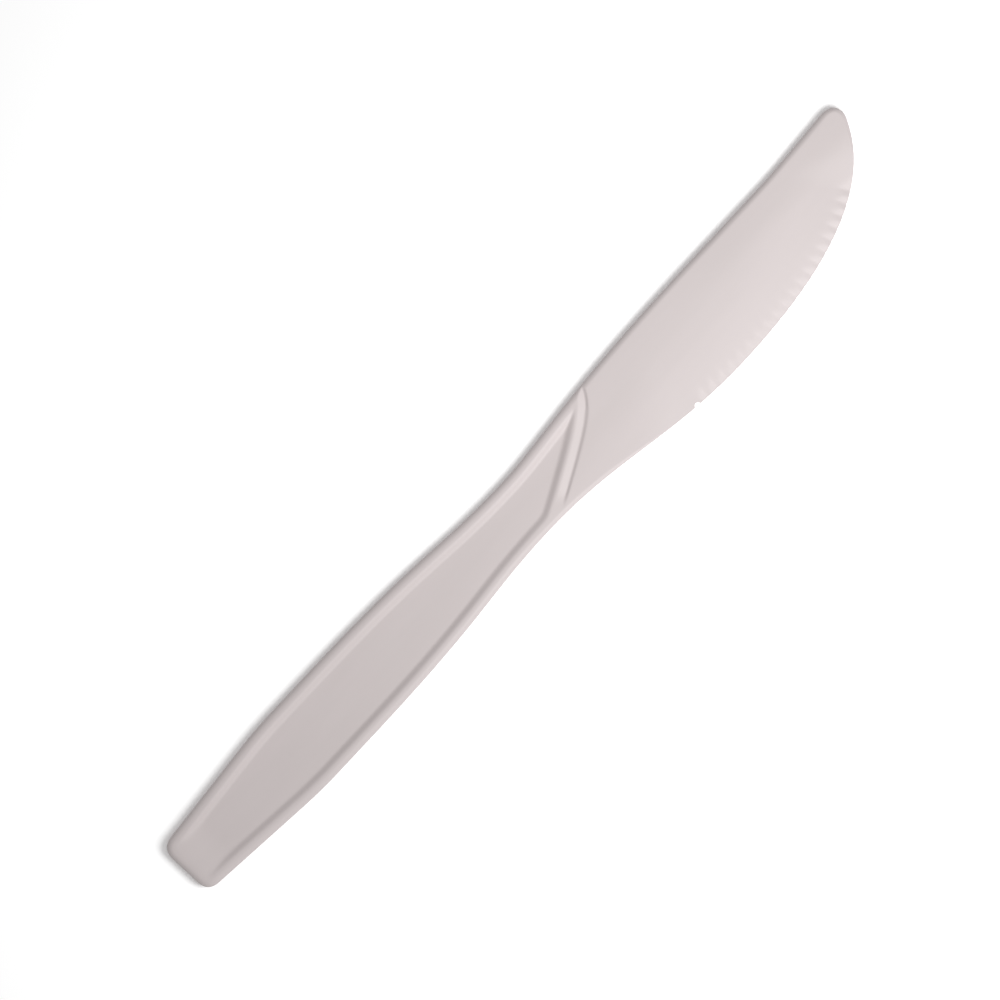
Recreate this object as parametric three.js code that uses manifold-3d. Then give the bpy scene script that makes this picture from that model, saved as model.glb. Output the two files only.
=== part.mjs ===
// A disposable plastic table knife, moulded in one piece.
// X runs along the handle to the tip, +Y is the spine side and -Y the cutting edge side, +Z is up.
// While it is shaped, the butt is at x = 0 and z = 0 is the parting plane, half way through the knife.
import * as THREE from "three";
import { mergeVertices } from "three/addons/utils/BufferGeometryUtils.js";
import Module from "manifold-3d";

const { degToRad } = THREE.MathUtils;

// Plan of the handle, in millimetres.
const handleLength = 82; // butt to neck
const buttWidth = 10.5; // between the flared sides at the butt, corners unrounded
const buttCorner = 2.5; // reach of each rounded butt corner
const flareLength = 25; // butt to the shoulder where the flare meets the grip
const flareBlend = 4; // reach of the rounded shoulder
const gripWidth = 14.9;
const gripLength = 12.5; // stretch of even width after the shoulder
const waistGripPull = 28; // how slowly the grip starts to narrow
const waistNeckPull = 15; // how gently it runs into the neck
const neckWidth = 11.1;

// Plan of the blade, with heights above and below the handle's middle line.
const bladeLength = 83; // neck to tip
const spineHeight = 7.9;
const spineRise = 50; // length over which the neck swells up to the straight spine
const spineNeckPull = 10;
const spinePull = 33;
const sweepLength = 16; // upswept end of the spine
const sweepHeight = 0.9;
const sweepBlend = 2.5; // reach of the rounded bend where it starts
const tipReach = 2.6; // spine side of the rounded tip
const tipPull = 2.8;
const noseHeight = 5.1; // where the belly runs into the rounded tip
const nosePull = 2;
const bellyDrop = 9.9; // deepest point of the belly
const bellyFromTip = 41;
const bellyPull = 32;
const bellyRiseAngle = degToRad(62); // direction of the belly at the tip
const bellyRisePull = 5.2;
const heelNeckPull = 16.5;
const heelPull = 17;

// Section of the knife.
const thickness = 2.2; // over the rims and the spine
const edgeRound = 1.15; // rounding of the outer edge, seen from above
const edgeLand = 0.4; // upright band left at the parting line
const rimWidth = 2.05; // outer edge to the middle of the panel's sloping wall
const wallRun = 1.4; // width of that sloping wall
const webThickness = 1; // the sunk panel's floor
const panelCorner = 1; // least reach of the panel's rounded corners
const buttRamp = 4.2; // butt to the middle of the ramp that ends the panel there
const buttRampRun = 7.4; // length of that ramp

// The diagonal bolster, a bead and a groove between the panel and the blade.
const bolsterHeel = 4; // neck to its end on the cutting edge side
const bolsterHeelMargin = 1; // left between that end and the outer edge
const bolsterSpine = 21; // neck to its end on the spine side
const bolsterSlope = degToRad(27); // direction of the straight lower stretch
const bolsterStraightPull = 13;
const bolsterHook = degToRad(70); // direction where it meets the spine
const bolsterHookPull = 4;
const beadWidth = 2.25; // middle of the groove to the middle of the panel's sloping wall
const beadFlank = 1.3; // width of the bead's slope down into the groove
const grooveWall = 0.4; // width of the groove's steeper side, on the blade
const grooveDepth = 0.3;
const grooveRunOut = 3; // length over which the groove fades at its lower end

// The thinned, serrated cutting edge.
const taperHeight = 3; // line on the blade from which it thins towards the edge
const taperAngle = degToRad(2);
const taperRunIn = 28; // length over which the thinning sets in, from the bolster's heel
const edgeThickness = 0.6;
const bevelAngle = degToRad(5);
const bevelRunIn = 16; // length over which the bevel sets in before the notch
const bevelRunOut = 13; // length over which the bevel fades at the tip
const serratedFrom = 32; // neck to the notch where the serration starts, along the edge
const plainTip = 10; // left without teeth at the tip, along the edge
const toothPitch = 2.2;
const toothDepth = 0.12;
const toothReach = 2.1; // how far each gullet runs up the flank
const gulletHalfAngle = degToRad(80);
const notchRadius = 0.55;

// Marks of the ejector pins in the underside of the panel.
const pinMarkRadius = 1.5;
const pinMarkDepth = 0.12;
const pinMarkPlaces = [14, 62]; // from the butt

// Fineness of the facets.
const curveSteps = 10;
const edgeSteps = 24;
const bevelSteps = 60;
const taperSteps = 8;
const wallSteps = 6;
const roundSteps = 4;
const bolsterSteps = 16;
const roundFacets = 20;

// Cutters reach this far past what they cut, and points nearer than this count as one.
const clear = 1;
const skim = 0.2; // for the flat cutter of the bevel
const far = 2 * gripWidth;
const samePoint = 1e-6;

// Sizes that follow from the driving ones.
const tipX = handleLength + bladeLength;
const halfNeck = neckWidth / 2;
const halfThickness = thickness / 2;
const halfWeb = webThickness / 2;
const halfEdge = edgeThickness / 2;

const whitePlastic = new THREE.MeshStandardMaterial({ color: 0xd8cecd, roughness: 0.45, metalness: 0 });

const wasm = await Module();
wasm.setup();

// Corner positions only, with shared corners merged.
function welded(geometry) {
  return mergeVertices(geometry.clone().deleteAttribute("normal").deleteAttribute("uv"));
}

function solid(geometry) {
  const mesh = welded(geometry);
  const vertProperties = mesh.attributes.position.array;
  const triVerts = new Uint32Array(mesh.index.array);
  return new wasm.Manifold(new wasm.Mesh({ numProp: 3, vertProperties, triVerts }));
}

// The solid together with its mirror image in the parting plane.
function bothFaces(geometry) {
  const other = welded(geometry).scale(1, 1, -1);
  const corners = other.index.array;
  for (let i = 0; i < corners.length; i += 3) {
    [corners[i + 1], corners[i + 2]] = [corners[i + 2], corners[i + 1]];
  }
  return solid(geometry).add(solid(other));
}

function geometryOf(body) {
  const mesh = body.getMesh();
  const geometry = new THREE.BufferGeometry();
  geometry.setAttribute("position", new THREE.BufferAttribute(mesh.vertProperties, 3));
  geometry.setIndex(new THREE.BufferAttribute(mesh.triVerts, 1));
  geometry.computeVertexNormals();
  return geometry;
}

// A closed form through a row of flat sections with equally many points, each set in its frame.
function loft(sections) {
  const count = sections[0].outline.length;
  const last = (sections.length - 1) * count;
  const positions = [];
  for (const { outline, frame } of sections) {
    for (const point of outline) {
      positions.push(...new THREE.Vector3(point.x, point.y, 0).applyMatrix4(frame));
    }
  }
  const triangles = [];
  for (let row = 0; row < last; row += count) {
    for (let i = 0; i < count; i++) {
      const a = row + i;
      const b = row + ((i + 1) % count);
      triangles.push(a, b, b + count, a, b + count, a + count);
    }
  }
  for (const [a, b, c] of THREE.ShapeUtils.triangulateShape(sections[0].outline, [])) {
    triangles.push(a, c, b);
  }
  for (const [a, b, c] of THREE.ShapeUtils.triangulateShape(sections.at(-1).outline, [])) {
    triangles.push(last + a, last + b, last + c);
  }
  const geometry = new THREE.BufferGeometry();
  geometry.setAttribute("position", new THREE.Float32BufferAttribute(positions, 3));
  return geometry.setIndex(triangles);
}

// A level section, for forms that are stacked up.
function level(outline, height) {
  return { outline, frame: new THREE.Matrix4().makeTranslation(0, 0, height) };
}

// An upright section across a curve of the plan: its x is left of the way along, its y is up.
function upright(outline, curve, share) {
  const point = curve.getPoint(share);
  const way = curve.getTangent(share);
  const left = new THREE.Vector3(-way.y, way.x, 0);
  const up = new THREE.Vector3(0, 0, 1);
  const frame = new THREE.Matrix4().makeBasis(left, up, new THREE.Vector3(way.x, way.y, 0));
  return { outline, frame: frame.setPosition(point.x, point.y, 0) };
}

const at = (x, y) => new THREE.Vector2(x, y);
const polar = (angle, length) => at(Math.cos(angle) * length, Math.sin(angle) * length);
const flipped = (points) => points.map((point) => at(point.x, -point.y));
const lowered = (points, drop) => points.map((point) => at(point.x, point.y - drop));

// The spine side of the handle from the middle of the butt to the neck, moved in by an inset at
// the side and by another at the butt.
function handleSide(inset, buttInset) {
  const grip = gripWidth / 2 - inset;
  const neck = halfNeck - inset;
  const slope = (gripWidth - buttWidth) / 2 / flareLength;
  const flareAt = (x) => grip - slope * (flareLength - x);
  const corner = Math.max(buttCorner - inset, panelCorner);
  const gripEnd = flareLength + gripLength;
  const side = new THREE.Path();
  side.moveTo(buttInset, 0);
  side.lineTo(buttInset, flareAt(buttInset) - corner);
  side.quadraticCurveTo(buttInset, flareAt(buttInset), buttInset + corner, flareAt(buttInset + corner));
  side.lineTo(flareLength - flareBlend, flareAt(flareLength - flareBlend));
  side.quadraticCurveTo(flareLength, grip, flareLength + flareBlend, grip);
  side.lineTo(gripEnd, grip);
  side.bezierCurveTo(
    gripEnd + waistGripPull, grip,
    handleLength - waistNeckPull, neck,
    handleLength, neck,
  );
  return side.getPoints(curveSteps);
}

// The heel and the belly, from the neck to the tip.
function edgeCurve() {
  const neck = at(handleLength, -halfNeck);
  const belly = at(tipX - bellyFromTip, -bellyDrop);
  const nose = at(tipX, noseHeight);
  const curve = new THREE.CurvePath();
  curve.add(new THREE.CubicBezierCurve(
    neck,
    neck.clone().add(at(heelNeckPull, 0)),
    belly.clone().sub(at(heelPull, 0)),
    belly,
  ));
  curve.add(new THREE.CubicBezierCurve(
    belly,
    belly.clone().add(at(bellyPull, 0)),
    nose.clone().sub(polar(bellyRiseAngle, bellyRisePull)),
    nose,
  ));
  return curve;
}

// The back of the blade and the rounded tip, from the neck to where the belly ends.
function spineSide() {
  const start = handleLength + spineRise;
  const bend = tipX - sweepLength;
  const slope = sweepHeight / sweepLength;
  const sweepAt = (x) => spineHeight + slope * (x - bend);
  const round = tipX - tipReach;
  const nose = at(tipX, noseHeight);
  const noseHandle = nose.clone().add(polar(bellyRiseAngle, nosePull));
  const side = new THREE.Path();
  side.moveTo(handleLength, halfNeck);
  side.bezierCurveTo(
    handleLength + spineNeckPull, halfNeck,
    start - spinePull, spineHeight,
    start, spineHeight,
  );
  side.lineTo(bend - sweepBlend, spineHeight);
  side.quadraticCurveTo(bend, spineHeight, bend + sweepBlend, sweepAt(bend + sweepBlend));
  side.lineTo(round, sweepAt(round));
  side.bezierCurveTo(
    round + tipPull, sweepAt(round + tipPull),
    noseHandle.x, noseHandle.y,
    nose.x, nose.y,
  );
  return side.getPoints(edgeSteps);
}

const cuttingEdge = edgeCurve();
const edgeLength = cuttingEdge.getLength();
const spine = spineSide();

// Height of the spine side at a place along the blade.
function spineAt(x) {
  const next = spine.findIndex((point) => point.x >= x);
  const before = spine[next - 1];
  const after = spine[next];
  return THREE.MathUtils.mapLinear(x, before.x, after.x, before.y, after.y);
}

// The groove of the bolster, from its lower end to the spine.
function bolsterCurve() {
  const low = at(handleLength + bolsterHeel, bolsterHeelMargin - halfNeck);
  const topX = handleLength + bolsterSpine;
  const top = at(topX, spineAt(topX));
  return new THREE.CubicBezierCurve(
    low,
    low.clone().add(polar(bolsterSlope, bolsterStraightPull)),
    top.clone().sub(polar(bolsterHook, bolsterHookPull)),
    top,
  );
}

const bolster = bolsterCurve();

// The line of the bolster moved towards the panel by an offset and run on past both ends.
function bolsterLine(offset) {
  const points = [];
  for (let step = 0; step <= bolsterSteps; step++) {
    const share = step / bolsterSteps;
    const way = bolster.getTangent(share);
    const point = bolster.getPoint(share).add(at(-way.y, way.x).multiplyScalar(offset));
    if (step === 0) points.push(point.clone().addScaledVector(way, -far));
    points.push(point);
    if (step === bolsterSteps) points.push(point.clone().addScaledVector(way, far));
  }
  return points;
}

// The outer form: the knife's outline with a rounded edge on both faces.
function plate() {
  const handle = handleSide(0, 0);
  const outline = [
    ...flipped(handle),
    ...cuttingEdge.getPoints(edgeSteps),
    ...spine.toReversed(),
    ...handle.toReversed(),
  ];
  const distinct = outline.filter((point, i) => point.distanceTo(outline.at(i - 1)) > samePoint);
  const geometry = new THREE.ExtrudeGeometry(new THREE.Shape(distinct), {
    depth: edgeLand,
    bevelThickness: (thickness - edgeLand) / 2,
    bevelSize: edgeRound,
    bevelOffset: -edgeRound,
    bevelSegments: roundSteps,
  });
  return geometry.translate(0, 0, -edgeLand / 2);
}

// Stacks outlines up the sloping wall of the panel, a smooth S from its floor to the rim.
function sunk(outlineAt) {
  const sections = [];
  for (let step = 0; step <= wallSteps; step++) {
    const share = step / wallSteps;
    const rise = (1 - Math.cos(Math.PI * share)) / 2;
    const outline = outlineAt(wallRun * (0.5 - share));
    sections.push(level(outline, THREE.MathUtils.lerp(halfWeb, halfThickness, rise)));
  }
  sections.push(level(outlineAt(-wallRun / 2), halfThickness + clear));
  return loft(sections);
}

// The trough between the handle's rims, which runs on under the blade.
function trough(inward) {
  const inset = rimWidth + inward;
  const end = handleLength + bolsterSpine + clear;
  const handle = handleSide(inset, buttRamp + (inward / wallRun) * buttRampRun);
  const upper = lowered(spine.filter((point) => point.x > handleLength && point.x < end), inset);
  return [...flipped(handle), at(end, inset - halfNeck), ...upper.toReversed(), ...handle.toReversed()]
    .filter((point, i, all) => point.distanceTo(all.at(i - 1)) > samePoint);
}

// Everything on the handle's side of the bolster's bead.
function handleOfBolster(inward) {
  const line = bolsterLine(beadWidth + inward);
  return [...line, at(-far, line.at(-1).y), at(-far, line[0].y)];
}

// The sunk panel of one face: the trough, closed at the blade end by the bolster.
function panelCut() {
  const cut = solid(sunk(trough)).intersect(solid(sunk(handleOfBolster)));
  return bothFaces(geometryOf(cut));
}

// The groove that parts the bolster's bead from the blade.
function grooveCut() {
  const length = bolster.getLength();
  const widening = 1 + clear / grooveDepth;
  const sections = [];
  for (let step = 0; step <= bolsterSteps; step++) {
    const share = step / bolsterSteps;
    const sunkShare = Math.min(1, (share * length) / grooveRunOut);
    const surface = halfThickness + grooveDepth * (1 - sunkShare);
    const top = surface + clear;
    const bead = at(beadFlank * widening, top);
    const blade = at(-grooveWall * widening, top);
    const profile = [at(0, surface - grooveDepth), bead, blade];
    sections.push(upright(profile, bolster, share));
  }
  return bothFaces(loft(sections));
}

// Everything on the blade's side of the bolster.
function bladeOfBolster() {
  const line = bolsterLine(0);
  const end = tipX + far;
  const region = new THREE.Shape([at(end, line[0].y), at(end, line.at(-1).y), ...line.toReversed()]);
  return new THREE.ExtrudeGeometry(region, { depth: thickness, bevelEnabled: false });
}

// The gentle thinning of the blade from near its spine to the cutting edge.
function taperCut() {
  const start = handleLength + bolsterHeel;
  const end = tipX + clear;
  const line = new THREE.LineCurve(at(start, taperHeight), at(end, taperHeight));
  const top = halfThickness + clear;
  const reach = taperHeight + bellyDrop + clear;
  const sectionAt = (x) => {
    const tilt = taperAngle * THREE.MathUtils.smoothstep(x, start, start + taperRunIn);
    const low = halfThickness - reach * Math.tan(tilt);
    const profile = [at(0, halfThickness), at(0, top), at(-reach, top), at(-reach, low)];
    return upright(profile, line, (x - start) / (end - start));
  };
  const sections = [];
  for (let step = 0; step <= taperSteps; step++) {
    sections.push(sectionAt(start + (taperRunIn * step) / taperSteps));
  }
  sections.push(sectionAt(end));
  return bothFaces(geometryOf(solid(loft(sections)).intersect(solid(bladeOfBolster()))));
}

// The steeper bevel along the serrated stretch, which sets in along the heel and fades out at the tip.
function bevelCut() {
  const top = halfThickness + skim;
  const slope = Math.tan(bevelAngle);
  const start = serratedFrom - bevelRunIn;
  const sections = [];
  for (let step = 0; step <= bevelSteps; step++) {
    const along = THREE.MathUtils.lerp(start, edgeLength, step / bevelSteps);
    const started = THREE.MathUtils.smoothstep(along, start, serratedFrom);
    const faded = THREE.MathUtils.smoothstep(along, edgeLength - bevelRunOut, edgeLength);
    const rim = THREE.MathUtils.lerp(halfThickness, halfEdge, started - faded);
    const profile = [at(-clear, rim - clear * slope), at((top - rim) / slope, top), at(-clear, top)];
    sections.push(upright(profile, cuttingEdge, along / edgeLength));
  }
  return bothFaces(loft(sections));
}

// One gullet of the serration, a wide V that deepens down the flank and opens through the edge.
function gullet(along) {
  const flank = halfEdge + toothReach * Math.tan(bevelAngle);
  const fall = Math.atan2(flank, toothReach - toothDepth);
  const wide = clear * Math.tan(gulletHalfAngle);
  const profile = new THREE.Shape([at(0, 0), at(wide, clear), at(-wide, clear)]);
  const length = (toothReach + 2 * clear) / Math.cos(fall);
  const geometry = new THREE.ExtrudeGeometry(profile, { depth: length, bevelEnabled: false });
  const point = cuttingEdge.getPoint(along / edgeLength);
  const way = cuttingEdge.getTangent(along / edgeLength);
  const inward = new THREE.Vector3(-way.y, way.x, 0);
  const back = new THREE.Vector3(-way.x, -way.y, 0);
  const climb = inward.clone().multiplyScalar(Math.cos(fall)).setZ(Math.sin(fall));
  const start = new THREE.Vector3(point.x, point.y, -(toothDepth + clear) * Math.tan(fall));
  start.addScaledVector(inward, -clear);
  const frame = new THREE.Matrix4().makeBasis(back, climb.clone().cross(back), climb);
  return bothFaces(geometry.applyMatrix4(frame.setPosition(start)));
}

function serrationCut() {
  const gullets = [];
  for (let along = serratedFrom + toothPitch; along < edgeLength - plainTip; along += toothPitch) {
    gullets.push(gullet(along));
  }
  return gullets.reduce((joined, one) => joined.add(one));
}

function uprightPin(radius, height, x, y, z) {
  const geometry = new THREE.CylinderGeometry(radius, radius, height, roundFacets);
  return solid(geometry.rotateX(Math.PI / 2).translate(x, y, z));
}

// The notch in the edge where the serration starts.
function notchCut() {
  const { x, y } = cuttingEdge.getPoint(serratedFrom / edgeLength);
  return uprightPin(notchRadius, thickness + clear, x, y, 0);
}

function pinMarkCut() {
  const marks = pinMarkPlaces.map((x) => uprightPin(pinMarkRadius, 2 * pinMarkDepth, x, 0, -halfWeb));
  return marks.reduce((joined, one) => joined.add(one));
}

function makeKnife() {
  const body = solid(plate())
    .subtract(taperCut())
    .subtract(panelCut())
    .subtract(grooveCut())
    .subtract(bevelCut())
    .subtract(serrationCut())
    .subtract(notchCut())
    .subtract(pinMarkCut());
  const knife = new THREE.Mesh(geometryOf(body), whitePlastic);
  knife.name = "knife";
  return knife;
}

// The knife lies on its underside, with the origin below the middle of its box.
function layDown(mesh) {
  mesh.geometry.computeBoundingBox();
  const { min, max } = mesh.geometry.boundingBox;
  mesh.position.set(-(min.x + max.x) / 2, -(min.y + max.y) / 2, -min.z);
  return mesh;
}

const cutlery = new THREE.Group();
cutlery.add(layDown(makeKnife()));

export default cutlery;
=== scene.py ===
# A disposable plastic table knife that lies on a pale floor, seen from straight above.
import math

import bmesh
import bpy
import numpy as np
from mathutils import Matrix, Vector


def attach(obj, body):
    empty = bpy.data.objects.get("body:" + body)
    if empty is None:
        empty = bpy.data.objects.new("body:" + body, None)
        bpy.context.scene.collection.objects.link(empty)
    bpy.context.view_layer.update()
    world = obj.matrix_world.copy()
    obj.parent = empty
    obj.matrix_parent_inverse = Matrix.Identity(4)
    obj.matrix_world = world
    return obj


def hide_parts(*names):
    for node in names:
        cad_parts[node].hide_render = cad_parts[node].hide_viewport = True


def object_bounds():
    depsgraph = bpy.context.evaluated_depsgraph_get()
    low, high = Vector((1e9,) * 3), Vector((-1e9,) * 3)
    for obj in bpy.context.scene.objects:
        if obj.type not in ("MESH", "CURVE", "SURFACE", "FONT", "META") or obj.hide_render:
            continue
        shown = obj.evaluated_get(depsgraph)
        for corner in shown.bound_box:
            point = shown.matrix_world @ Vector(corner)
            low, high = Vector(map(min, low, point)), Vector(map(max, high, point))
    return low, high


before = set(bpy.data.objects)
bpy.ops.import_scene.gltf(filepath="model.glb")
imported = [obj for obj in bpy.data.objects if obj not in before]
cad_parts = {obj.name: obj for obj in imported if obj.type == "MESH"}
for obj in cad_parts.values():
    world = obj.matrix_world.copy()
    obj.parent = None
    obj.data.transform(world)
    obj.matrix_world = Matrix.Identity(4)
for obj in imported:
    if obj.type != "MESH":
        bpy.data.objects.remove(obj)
cad_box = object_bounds()

MM = 0.001

# Sizes of the knife in millimetres, with the butt at x = 0 and the parting plane at z = 0.
handle_length = 82.0
butt_width = 10.5
butt_corner = 2.5
flare_length = 25.0
flare_blend = 4.0
grip_width = 14.9
grip_length = 12.5
waist_grip_pull = 28.0
waist_neck_pull = 15.0
neck_width = 11.1

blade_length = 83.0
spine_height = 7.9
spine_rise = 50.0
spine_neck_pull = 10.0
spine_pull = 33.0
sweep_length = 16.0
sweep_height = 0.9
sweep_blend = 2.5
tip_reach = 2.6
tip_pull = 2.8
nose_height = 5.1
nose_pull = 2.0
belly_drop = 9.9
belly_from_tip = 41.0
belly_pull = 32.0
belly_rise_angle = math.radians(62)
belly_rise_pull = 5.2
heel_neck_pull = 16.5
heel_pull = 17.0

thickness = 2.2
edge_round = 1.15
edge_land = 0.4
rim_width = 2.05
wall_run = 1.4
web_thickness = 1.0
corner_blend = 0.35
butt_ramp = 4.2
butt_ramp_run = 7.4

bolster_heel = 4.0
bolster_heel_margin = 1.0
bolster_spine = 21.0
bolster_slope = math.radians(27)
bolster_straight_pull = 13.0
bolster_hook = math.radians(70)
bolster_hook_pull = 4.0
bead_width = 2.25
bead_flank = 1.3
groove_wall = 0.4
groove_depth = 0.3
groove_run_out = 3.0
groove_blend = 0.15

taper_height = 3.0
taper_blend = 1.5
taper_angle = math.radians(2)
taper_run_in = 28.0
edge_thickness = 0.6
bevel_angle = math.radians(5)
bevel_run_in = 16.0
bevel_run_out = 13.0
serrated_from = 32.0
plain_tip = 10.0
tooth_pitch = 2.2
tooth_depth = 0.12
tooth_reach = 2.1
tooth_blend = 0.05
gullet_half_angle = math.radians(80)
notch_radius = 0.55
bevel_blend = 0.2
gullet_blend = 0.1
thinnest = 0.04

pin_mark_radius = 1.5
pin_mark_depth = 0.12
pin_mark_soft = 0.1
pin_mark_places = (14.0, 62.0)

tip_x = handle_length + blade_length
half_neck = neck_width / 2
half_thickness = thickness / 2
half_web = web_thickness / 2
half_edge = edge_thickness / 2
half_land = edge_land / 2

# Fineness of the curves and of the mesh.
curve_steps = 64
edge_step = 0.09
far = 40.0
weld_distance = 0.0005 * MM
round_rows = 10
wall_rows = 14
near_reach = 3.2
near_share = 2.6
middle_rows = 26
butt_columns = 16
tip_columns = 44
tip_stretch = 6.0
butt_stretch = 6.0
pin_stretch = 2.0
bolster_margin = 1.5
notch_stretch = 1.2
butt_step = 0.25
handle_step = 0.8
pin_step = 0.2
bolster_step = 0.16
heel_step = 0.4
notch_step = 0.08
tooth_step = 0.22


def at(x, y):
    return np.array((x, y), dtype=float)


def polar(angle, length):
    return at(math.cos(angle) * length, math.sin(angle) * length)


def bezier(*points):
    """Points along a quadratic or cubic curve, or a straight line of two points."""
    share = np.linspace(0, 1, curve_steps + 1)[:, None]
    degree = len(points) - 1
    total = np.zeros((curve_steps + 1, 2))
    for i, point in enumerate(points):
        total += math.comb(degree, i) * share**i * (1 - share) ** (degree - i) * np.asarray(point)
    return total


def chain(*stretches):
    """Joins stretches of points end to end."""
    return np.vstack([stretches[0]] + [stretch[1:] for stretch in stretches[1:]])


def smoothstep(value, low, high):
    share = np.clip((value - low) / (high - low), 0, 1)
    return share * share * (3 - 2 * share)


def softer_min(first, second, width):
    return (first + second - np.sqrt((first - second) ** 2 + width**2)) / 2


def softer_max(first, second, width):
    return -softer_min(-first, -second, width)


def lengths_along(line):
    steps = np.hypot(*np.diff(line, axis=0).T)
    return np.concatenate([[0], np.cumsum(steps)])


def nearest(points, line, batch=3000):
    """Signed distance from each point to a line, left of it positive, and the length along it there."""
    start = line[:-1]
    way = np.diff(line, axis=0)
    size = np.hypot(way[:, 0], way[:, 1])
    along = lengths_along(line)
    distances = np.empty(len(points))
    places = np.empty(len(points))
    for first in range(0, len(points), batch):
        gap = points[first:first + batch, None] - start[None]
        share = np.clip((gap * way).sum(2) / size**2, 0, 1)
        rest = gap - share[..., None] * way
        squared = (rest**2).sum(2)
        best = squared.argmin(1)
        row = np.arange(len(best))
        turn = way[best, 0] * gap[row, best, 1] - way[best, 1] * gap[row, best, 0]
        distances[first:first + batch] = np.sqrt(squared[row, best]) * np.where(turn < 0, -1, 1)
        places[first:first + batch] = along[best] + share[row, best] * size[best]
    return distances, places


def handle_side():
    """The spine side of the handle, from the butt's corner to the neck."""
    grip = grip_width / 2
    slope = (grip_width - butt_width) / 2 / flare_length
    grip_end = flare_length + grip_length

    def flare_at(x):
        return at(x, grip - slope * (flare_length - x))

    butt = flare_at(0)
    shoulder = at(flare_length, grip)
    return chain(
        bezier(butt - at(0, butt_corner), butt, flare_at(butt_corner)),
        bezier(flare_at(butt_corner), flare_at(flare_length - flare_blend)),
        bezier(flare_at(flare_length - flare_blend), shoulder, shoulder + at(flare_blend, 0)),
        bezier(shoulder + at(flare_blend, 0), at(grip_end, grip)),
        bezier(
            at(grip_end, grip), at(grip_end + waist_grip_pull, grip),
            at(handle_length - waist_neck_pull, half_neck), at(handle_length, half_neck),
        ),
    )


def spine_side():
    """The back of the blade from the neck to the start of the rounded tip."""
    neck = at(handle_length, half_neck)
    straight = at(handle_length + spine_rise, spine_height)
    bend = at(tip_x - sweep_length, spine_height)
    rise = at(1, sweep_height / sweep_length)
    low = bend - at(sweep_blend, 0)
    high = bend + rise * sweep_blend
    return chain(
        bezier(neck, neck + at(spine_neck_pull, 0), straight - at(spine_pull, 0), straight),
        bezier(straight, low),
        bezier(low, bend, high),
        bezier(high, bend + rise * (sweep_length - tip_reach)),
    )


nose = at(tip_x, nose_height)


def tip_round(start):
    """The rounded tip, from the end of the spine to the end of the belly."""
    rise = at(1, sweep_height / sweep_length)
    return bezier(start, start + rise * tip_pull, nose + polar(belly_rise_angle, nose_pull), nose)


def cutting_edge():
    """The heel and the belly, from the neck to the tip, without teeth."""
    neck = at(handle_length, -half_neck)
    belly = at(tip_x - belly_from_tip, -belly_drop)
    return chain(
        bezier(neck, neck + at(heel_neck_pull, 0), belly - at(heel_pull, 0), belly),
        bezier(belly, belly + at(belly_pull, 0), nose - polar(belly_rise_angle, belly_rise_pull), nose),
    )


def finer(line, step):
    along = lengths_along(line)
    places = np.linspace(0, along[-1], int(along[-1] / step) + 2)
    return np.column_stack([np.interp(places, along, line[:, 0]), np.interp(places, along, line[:, 1])])


def left_of(line):
    way = np.gradient(line, axis=0)
    way /= np.hypot(way[:, 0], way[:, 1])[:, None]
    return np.column_stack([-way[:, 1], way[:, 0]])


edge_line = finer(cutting_edge(), edge_step)
edge_along = lengths_along(edge_line)
edge_length = edge_along[-1]
gullet_fall = math.atan2(half_edge + tooth_reach * math.tan(bevel_angle), tooth_reach - tooth_depth)


def gullet_distance(along):
    """Distance along the edge to the middle of the nearest gullet, far away where there is none."""
    count = math.ceil((edge_length - plain_tip - serrated_from) / tooth_pitch) - 1
    number = np.clip(np.round((along - serrated_from) / tooth_pitch), 1, count)
    return np.abs(along - serrated_from - number * tooth_pitch)


def edge_bite(along):
    """How far the gullets and the notch bite into the outline."""
    slope = math.tan(gullet_half_angle) * math.tan(gullet_fall)
    tooth = softer_max(tooth_depth - gullet_distance(along) / slope, 0, tooth_blend)
    notch = np.sqrt(np.clip(notch_radius**2 - (along - serrated_from) ** 2, 0, None))
    ends = smoothstep(along, serrated_from - 2 * notch_radius, serrated_from)
    return np.maximum(tooth * ends, notch)


handle_line = handle_side()
spine_line = spine_side()
tip_line = tip_round(spine_line[-1])
furthest = tip_line[:, 0].argmax()
bitten_edge = edge_line + left_of(edge_line) * edge_bite(edge_along)[:, None]
upper_side = chain(handle_line, spine_line, tip_line[:furthest + 1])
lower_side = chain(handle_line * (1, -1), bitten_edge, tip_line[:furthest - 1:-1])
outline = np.vstack([lower_side, upper_side[-2::-1], lower_side[:1]])


def spine_at(x):
    return float(np.interp(x, spine_line[:, 0], spine_line[:, 1]))


def bolster_groove():
    """The middle of the bolster's groove, from its lower end to the spine."""
    low = at(handle_length + bolster_heel, bolster_heel_margin - half_neck)
    top_x = handle_length + bolster_spine
    top = at(top_x, spine_at(top_x))
    return bezier(
        low, low + polar(bolster_slope, bolster_straight_pull),
        top - polar(bolster_hook, bolster_hook_pull), top,
    )


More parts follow.
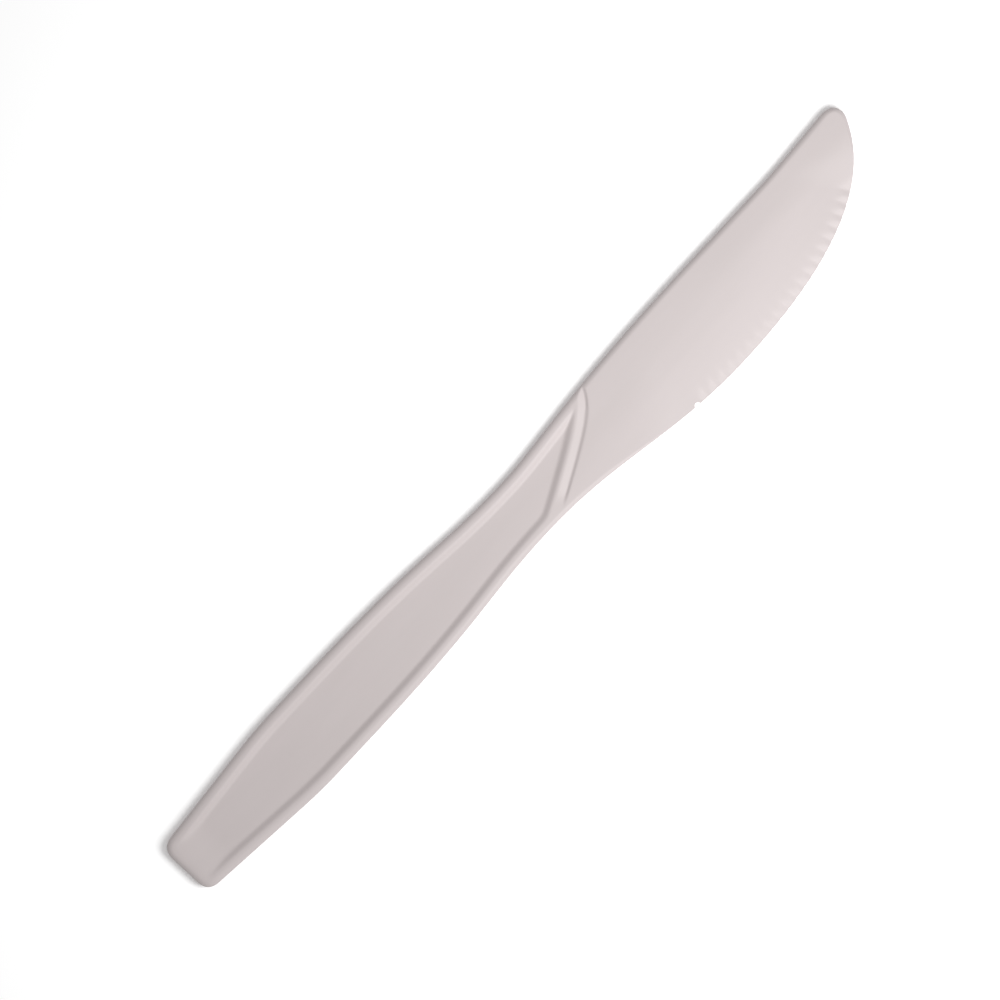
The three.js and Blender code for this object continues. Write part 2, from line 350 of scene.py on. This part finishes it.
def surface_height(points):
    """Height of the upper face over the parting plane. The lower face is its mirror image."""
    x, y = points.T
    inside = np.abs(nearest(points, outline)[0])
    from_edge, along_edge = nearest(points, edge_line)
    from_edge = np.abs(from_edge)
    groove = bolster_groove()
    run_on = [groove[:1] - polar(bolster_slope, far), groove, groove[-1:] + polar(bolster_hook, far)]
    to_handle, along_groove = nearest(points, np.vstack(run_on))

    # The blade thins towards the edge beyond the bolster.
    start = handle_length + bolster_heel
    tilt = np.tan(taper_angle * smoothstep(x, start, start + taper_run_in))
    below = softer_max(taper_height - y, 0, taper_blend)
    on_blade = 1 - smoothstep(to_handle, -groove_wall, groove_wall)
    height = half_thickness - on_blade * tilt * below

    # The sunk panel, closed at the blade's end by the bolster's bead.
    from_butt = (x - butt_ramp) * wall_run / butt_ramp_run
    depth_in = softer_min(inside - rim_width, to_handle - bead_width, corner_blend)
    depth_in = softer_min(depth_in, from_butt, corner_blend)
    share = np.clip(depth_in / wall_run + 0.5, 0, 1)
    height += (half_web - height) * (1 - np.cos(math.pi * share)) / 2

    # The groove, with the bead's long slope on one side and a steeper wall on the other.
    faded = smoothstep(along_groove - far, 0, groove_run_out)
    bead_side = 1 - to_handle / bead_flank
    blade_side = 1 + to_handle / groove_wall
    sunk = np.clip(softer_min(bead_side, blade_side, groove_blend), 0, 1)
    height -= groove_depth * faded * sunk

    # The bevel of the serrated stretch and its gullets.
    started = smoothstep(along_edge, serrated_from - bevel_run_in, serrated_from)
    faded = smoothstep(along_edge, edge_length - bevel_run_out, edge_length)
    rim = half_thickness + (half_edge - half_thickness) * (started - faded)
    height = softer_min(height, rim + from_edge * math.tan(bevel_angle), bevel_blend)
    flank = (from_edge - tooth_depth) * math.tan(gullet_fall)
    flank += gullet_distance(along_edge) / math.tan(gullet_half_angle)
    before_teeth = 1 - smoothstep(along_edge, serrated_from, serrated_from + tooth_pitch / 2)
    flank += half_thickness * before_teeth
    height = softer_min(height, np.maximum(flank, 0), gullet_blend)

    # The rounded outer edge above the parting line.
    reach = np.clip(inside / edge_round, 0, 1)
    rounded = half_land + (half_thickness - half_land) * np.sqrt(1 - (1 - reach) ** 2)
    return np.maximum(np.minimum(height, rounded), thinnest)


def pin_marks(points):
    """Depth of the ejector pins' marks in the underside of the panel."""
    depth = np.zeros(len(points))
    for place in pin_mark_places:
        radius = np.hypot(points[:, 0] - place, points[:, 1])
        edge = (pin_mark_radius - pin_mark_soft, pin_mark_radius + pin_mark_soft)
        depth += pin_mark_depth * (1 - smoothstep(radius, *edge))
    return depth


def column_places():
    """Places along the knife where the mesh has a column, closer together where the form is finer."""
    notch_x = float(np.interp(serrated_from, edge_along, edge_line[:, 0]))
    bolster_end = handle_length + bolster_spine + bolster_margin
    serrated_end = tip_line[furthest, 0] - tip_stretch
    places = [butt_corner * (np.arange(butt_columns) / butt_columns) ** 2]
    stretches = [(butt_corner, butt_stretch, butt_step)]
    last = butt_stretch
    for place in pin_mark_places:
        stretches.append((last, place - pin_stretch, handle_step))
        stretches.append((place - pin_stretch, place + pin_stretch, pin_step))
        last = place + pin_stretch
    stretches += [
        (last, handle_length, handle_step),
        (handle_length, bolster_end, bolster_step),
        (bolster_end, notch_x - notch_stretch, heel_step),
        (notch_x - notch_stretch, notch_x + notch_stretch, notch_step),
        (notch_x + notch_stretch, serrated_end, tooth_step),
    ]
    for low, high, step in stretches:
        places.append(np.linspace(low, high, math.ceil((high - low) / step), endpoint=False))
    left = 1 - np.arange(tip_columns + 1) / tip_columns
    places.append(tip_line[furthest, 0] - tip_stretch * left**2)
    return np.concatenate(places)


def plan_grid():
    """Plan points of the mesh in columns across the knife, with rows close together at its edges."""
    places = column_places()
    low = np.interp(places, lower_side[:, 0], lower_side[:, 1])
    high = np.interp(places, upper_side[:, 0], upper_side[:, 1])
    rounded = edge_round * (1 - np.cos(np.linspace(0, math.pi / 2, round_rows, endpoint=False)))
    inset = np.concatenate([rounded, np.linspace(edge_round, near_reach, wall_rows)])
    fit = np.minimum(1, (high - low) / (near_share * near_reach))[:, None]
    lower = low[:, None] + inset * fit
    upper = high[:, None] - inset[::-1] * fit
    share = np.arange(1, middle_rows + 1) / (middle_rows + 1)
    middle = lower[:, -1:] + (upper[:, :1] - lower[:, -1:]) * share
    across = np.hstack([lower, middle, upper])
    along = np.repeat(places[:, None], across.shape[1], axis=1)
    return np.stack([along, across], axis=2)


def knife_mesh():
    """The knife's two faces over one grid, joined round the outline by an upright land."""
    grid = plan_grid()
    columns, rows = grid.shape[:2]
    plan = grid.reshape(-1, 2)
    height = surface_height(plan)
    top = np.column_stack([plan, height])
    bottom = np.column_stack([plan, pin_marks(plan) - height])
    left, front, floor = np.array(cad_box[0]) / MM
    shift = np.array((left, front + belly_drop, floor + half_thickness))
    vertices = np.clip((np.vstack([top, bottom]) + shift) * MM, *cad_box)

    index = np.arange(columns * rows).reshape(columns, rows)
    corners = [index[:-1, :-1], index[1:, :-1], index[1:, 1:], index[:-1, 1:]]
    quads = np.stack(corners, axis=2).reshape(-1, 4)
    under = columns * rows
    ring = np.concatenate([index[:, 0], index[-1, 1:], index[-2::-1, -1], index[0, -2:0:-1]])
    following = np.roll(ring, -1)
    band = np.column_stack([ring + under, following + under, following, ring])
    faces = np.vstack([quads, quads[:, ::-1] + under, band])

    mesh = bpy.data.meshes.new("knife_moulding")
    mesh.from_pydata(vertices.tolist(), [], faces.tolist())
    shape = bmesh.new()
    shape.from_mesh(mesh)
    bmesh.ops.remove_doubles(shape, verts=shape.verts, dist=weld_distance)
    bmesh.ops.dissolve_degenerate(shape, dist=weld_distance, edges=shape.edges)
    shape.to_mesh(mesh)
    shape.free()
    mesh.shade_smooth()
    return mesh


# Colours of the plastic, the darker and the lighter end of its faint flow marks.
darker_white = (0.640, 0.578, 0.572, 1)
lighter_white = (0.672, 0.606, 0.602, 1)


def white_plastic():
    """Off-white moulded polypropylene with a satin skin and faint flow marks along the knife."""
    material = bpy.data.materials.new("white_plastic")
    material.use_nodes = True
    nodes = material.node_tree.nodes
    links = material.node_tree.links
    shader = nodes["Principled BSDF"]
    shader.inputs["IOR"].default_value = 1.49
    place = nodes.new("ShaderNodeTexCoord")
    stretch = nodes.new("ShaderNodeMapping")
    stretch.inputs["Scale"].default_value = (1, 6, 6)
    links.new(place.outputs["Object"], stretch.inputs["Vector"])

    flow = nodes.new("ShaderNodeTexNoise")
    flow.inputs["Scale"].default_value = 28
    flow.inputs["Detail"].default_value = 4
    links.new(stretch.outputs["Vector"], flow.inputs["Vector"])
    grain = nodes.new("ShaderNodeTexNoise")
    grain.inputs["Scale"].default_value = 4200
    grain.inputs["Detail"].default_value = 3
    links.new(place.outputs["Object"], grain.inputs["Vector"])

    tint = nodes.new("ShaderNodeValToRGB")
    tint.color_ramp.elements[0].position = 0.3
    tint.color_ramp.elements[0].color = darker_white
    tint.color_ramp.elements[1].position = 0.7
    tint.color_ramp.elements[1].color = lighter_white
    links.new(flow.outputs["Fac"], tint.inputs["Fac"])
    links.new(tint.outputs["Color"], shader.inputs["Base Color"])

    skin = nodes.new("ShaderNodeMapRange")
    skin.inputs["To Min"].default_value = 0.40
    skin.inputs["To Max"].default_value = 0.52
    links.new(grain.outputs["Fac"], skin.inputs["Value"])
    links.new(skin.outputs["Result"], shader.inputs["Roughness"])

    bump = nodes.new("ShaderNodeBump")
    bump.inputs["Strength"].default_value = 0.12
    bump.inputs["Distance"].default_value = 0.03 * MM
    links.new(grain.outputs["Fac"], bump.inputs["Height"])
    links.new(bump.outputs["Normal"], shader.inputs["Normal"])
    return material


def add_knife():
    knife = bpy.data.objects.new("knife_moulding", knife_mesh())
    bpy.context.scene.collection.objects.link(knife)
    knife.data.materials.append(white_plastic())
    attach(knife, "root")
    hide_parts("knife")
    return knife


# The photograph's view, from straight above.
image_width = 164.67 * MM
view_from_butt = 80.07 * MM
view_above_middle = 3.84 * MM
middle_line = cad_box[0][1] + belly_drop * MM
view_centre = Vector((cad_box[0][0] + view_from_butt, middle_line + view_above_middle, cad_box[1][2]))
view_right = Vector((0.68360, -0.72985, 0)).normalized()
camera_distance = 1.2
sensor_width = 36
camera_reach = 20


def add_camera():
    data = bpy.data.cameras.new("camera")
    data.sensor_width = sensor_width
    data.lens = sensor_width * camera_distance / image_width
    data.clip_end = camera_reach
    camera = bpy.data.objects.new("camera", data)
    up = Vector((0, 0, 1)).cross(view_right)
    turn = Matrix((view_right, up, (0, 0, 1))).transposed()
    place = view_centre + Vector((0, 0, camera_distance))
    camera.matrix_world = Matrix.Translation(place) @ turn.to_4x4()
    bpy.context.scene.collection.objects.link(camera)
    bpy.context.scene.camera = camera


# Light and floor, in metres and watts. The floor is paler to the camera than to the knife.
floor_size = 6.0
floor_seen = 1.56
floor_lit = 0.8
fill_strength = 0.38
lamp_power = 0.46
lamp_size = 0.20
lamp_place = Vector((0.06, -0.13, 0.19))
lamp_target = Vector((0.09, 0, 0))


def seen_directly(nodes, links):
    """One where a ray comes from the camera, a reflection or through a clear surface, else nought."""
    path = nodes.new("ShaderNodeLightPath")
    either = nodes.new("ShaderNodeMath")
    either.operation = "MAXIMUM"
    links.new(path.outputs["Is Camera Ray"], either.inputs[0])
    links.new(path.outputs["Is Glossy Ray"], either.inputs[1])
    any_of = nodes.new("ShaderNodeMath")
    any_of.operation = "MAXIMUM"
    links.new(either.outputs["Value"], any_of.inputs[0])
    links.new(path.outputs["Is Transmission Ray"], any_of.inputs[1])
    return any_of.outputs["Value"]


def add_floor():
    half = floor_size / 2
    corners = [(-half, -half, 0), (half, -half, 0), (half, half, 0), (-half, half, 0)]
    mesh = bpy.data.meshes.new("floor")
    mesh.from_pydata(corners, [], [(0, 1, 2, 3)])
    floor = bpy.data.objects.new("floor", mesh)
    bpy.context.scene.collection.objects.link(floor)
    material = bpy.data.materials.new("floor")
    material.use_nodes = True
    nodes = material.node_tree.nodes
    links = material.node_tree.links
    nodes.clear()
    paper = nodes.new("ShaderNodeBsdfDiffuse")
    tone = nodes.new("ShaderNodeMapRange")
    tone.clamp = False
    tone.inputs["To Min"].default_value = floor_lit
    tone.inputs["To Max"].default_value = floor_seen
    output = nodes.new("ShaderNodeOutputMaterial")
    links.new(seen_directly(nodes, links), tone.inputs["Value"])
    links.new(tone.outputs["Result"], paper.inputs["Color"])
    links.new(paper.outputs["BSDF"], output.inputs["Surface"])
    mesh.materials.append(material)


def light_world():
    world = bpy.data.worlds.new("studio")
    bpy.context.scene.world = world
    world.use_nodes = True
    nodes = world.node_tree.nodes
    links = world.node_tree.links
    strength = nodes.new("ShaderNodeMapRange")
    strength.inputs["To Min"].default_value = fill_strength
    strength.inputs["To Max"].default_value = 1
    links.new(seen_directly(nodes, links), strength.inputs["Value"])
    links.new(strength.outputs["Result"], nodes["Background"].inputs["Strength"])
    nodes["Background"].inputs["Color"].default_value = (1, 1, 1, 1)


def add_lamp():
    data = bpy.data.lights.new("lamp", "AREA")
    data.shape = "DISK"
    data.size = lamp_size
    data.energy = lamp_power
    lamp = bpy.data.objects.new("lamp", data)
    lamp.location = lamp_place
    lamp.rotation_euler = (lamp_target - lamp_place).to_track_quat("-Z", "Y").to_euler()
    bpy.context.scene.collection.objects.link(lamp)


add_knife()
add_camera()
add_floor()
light_world()
add_lamp()
bpy.context.scene.view_settings.view_transform = "Standard"

bpy.context.view_layer.update()
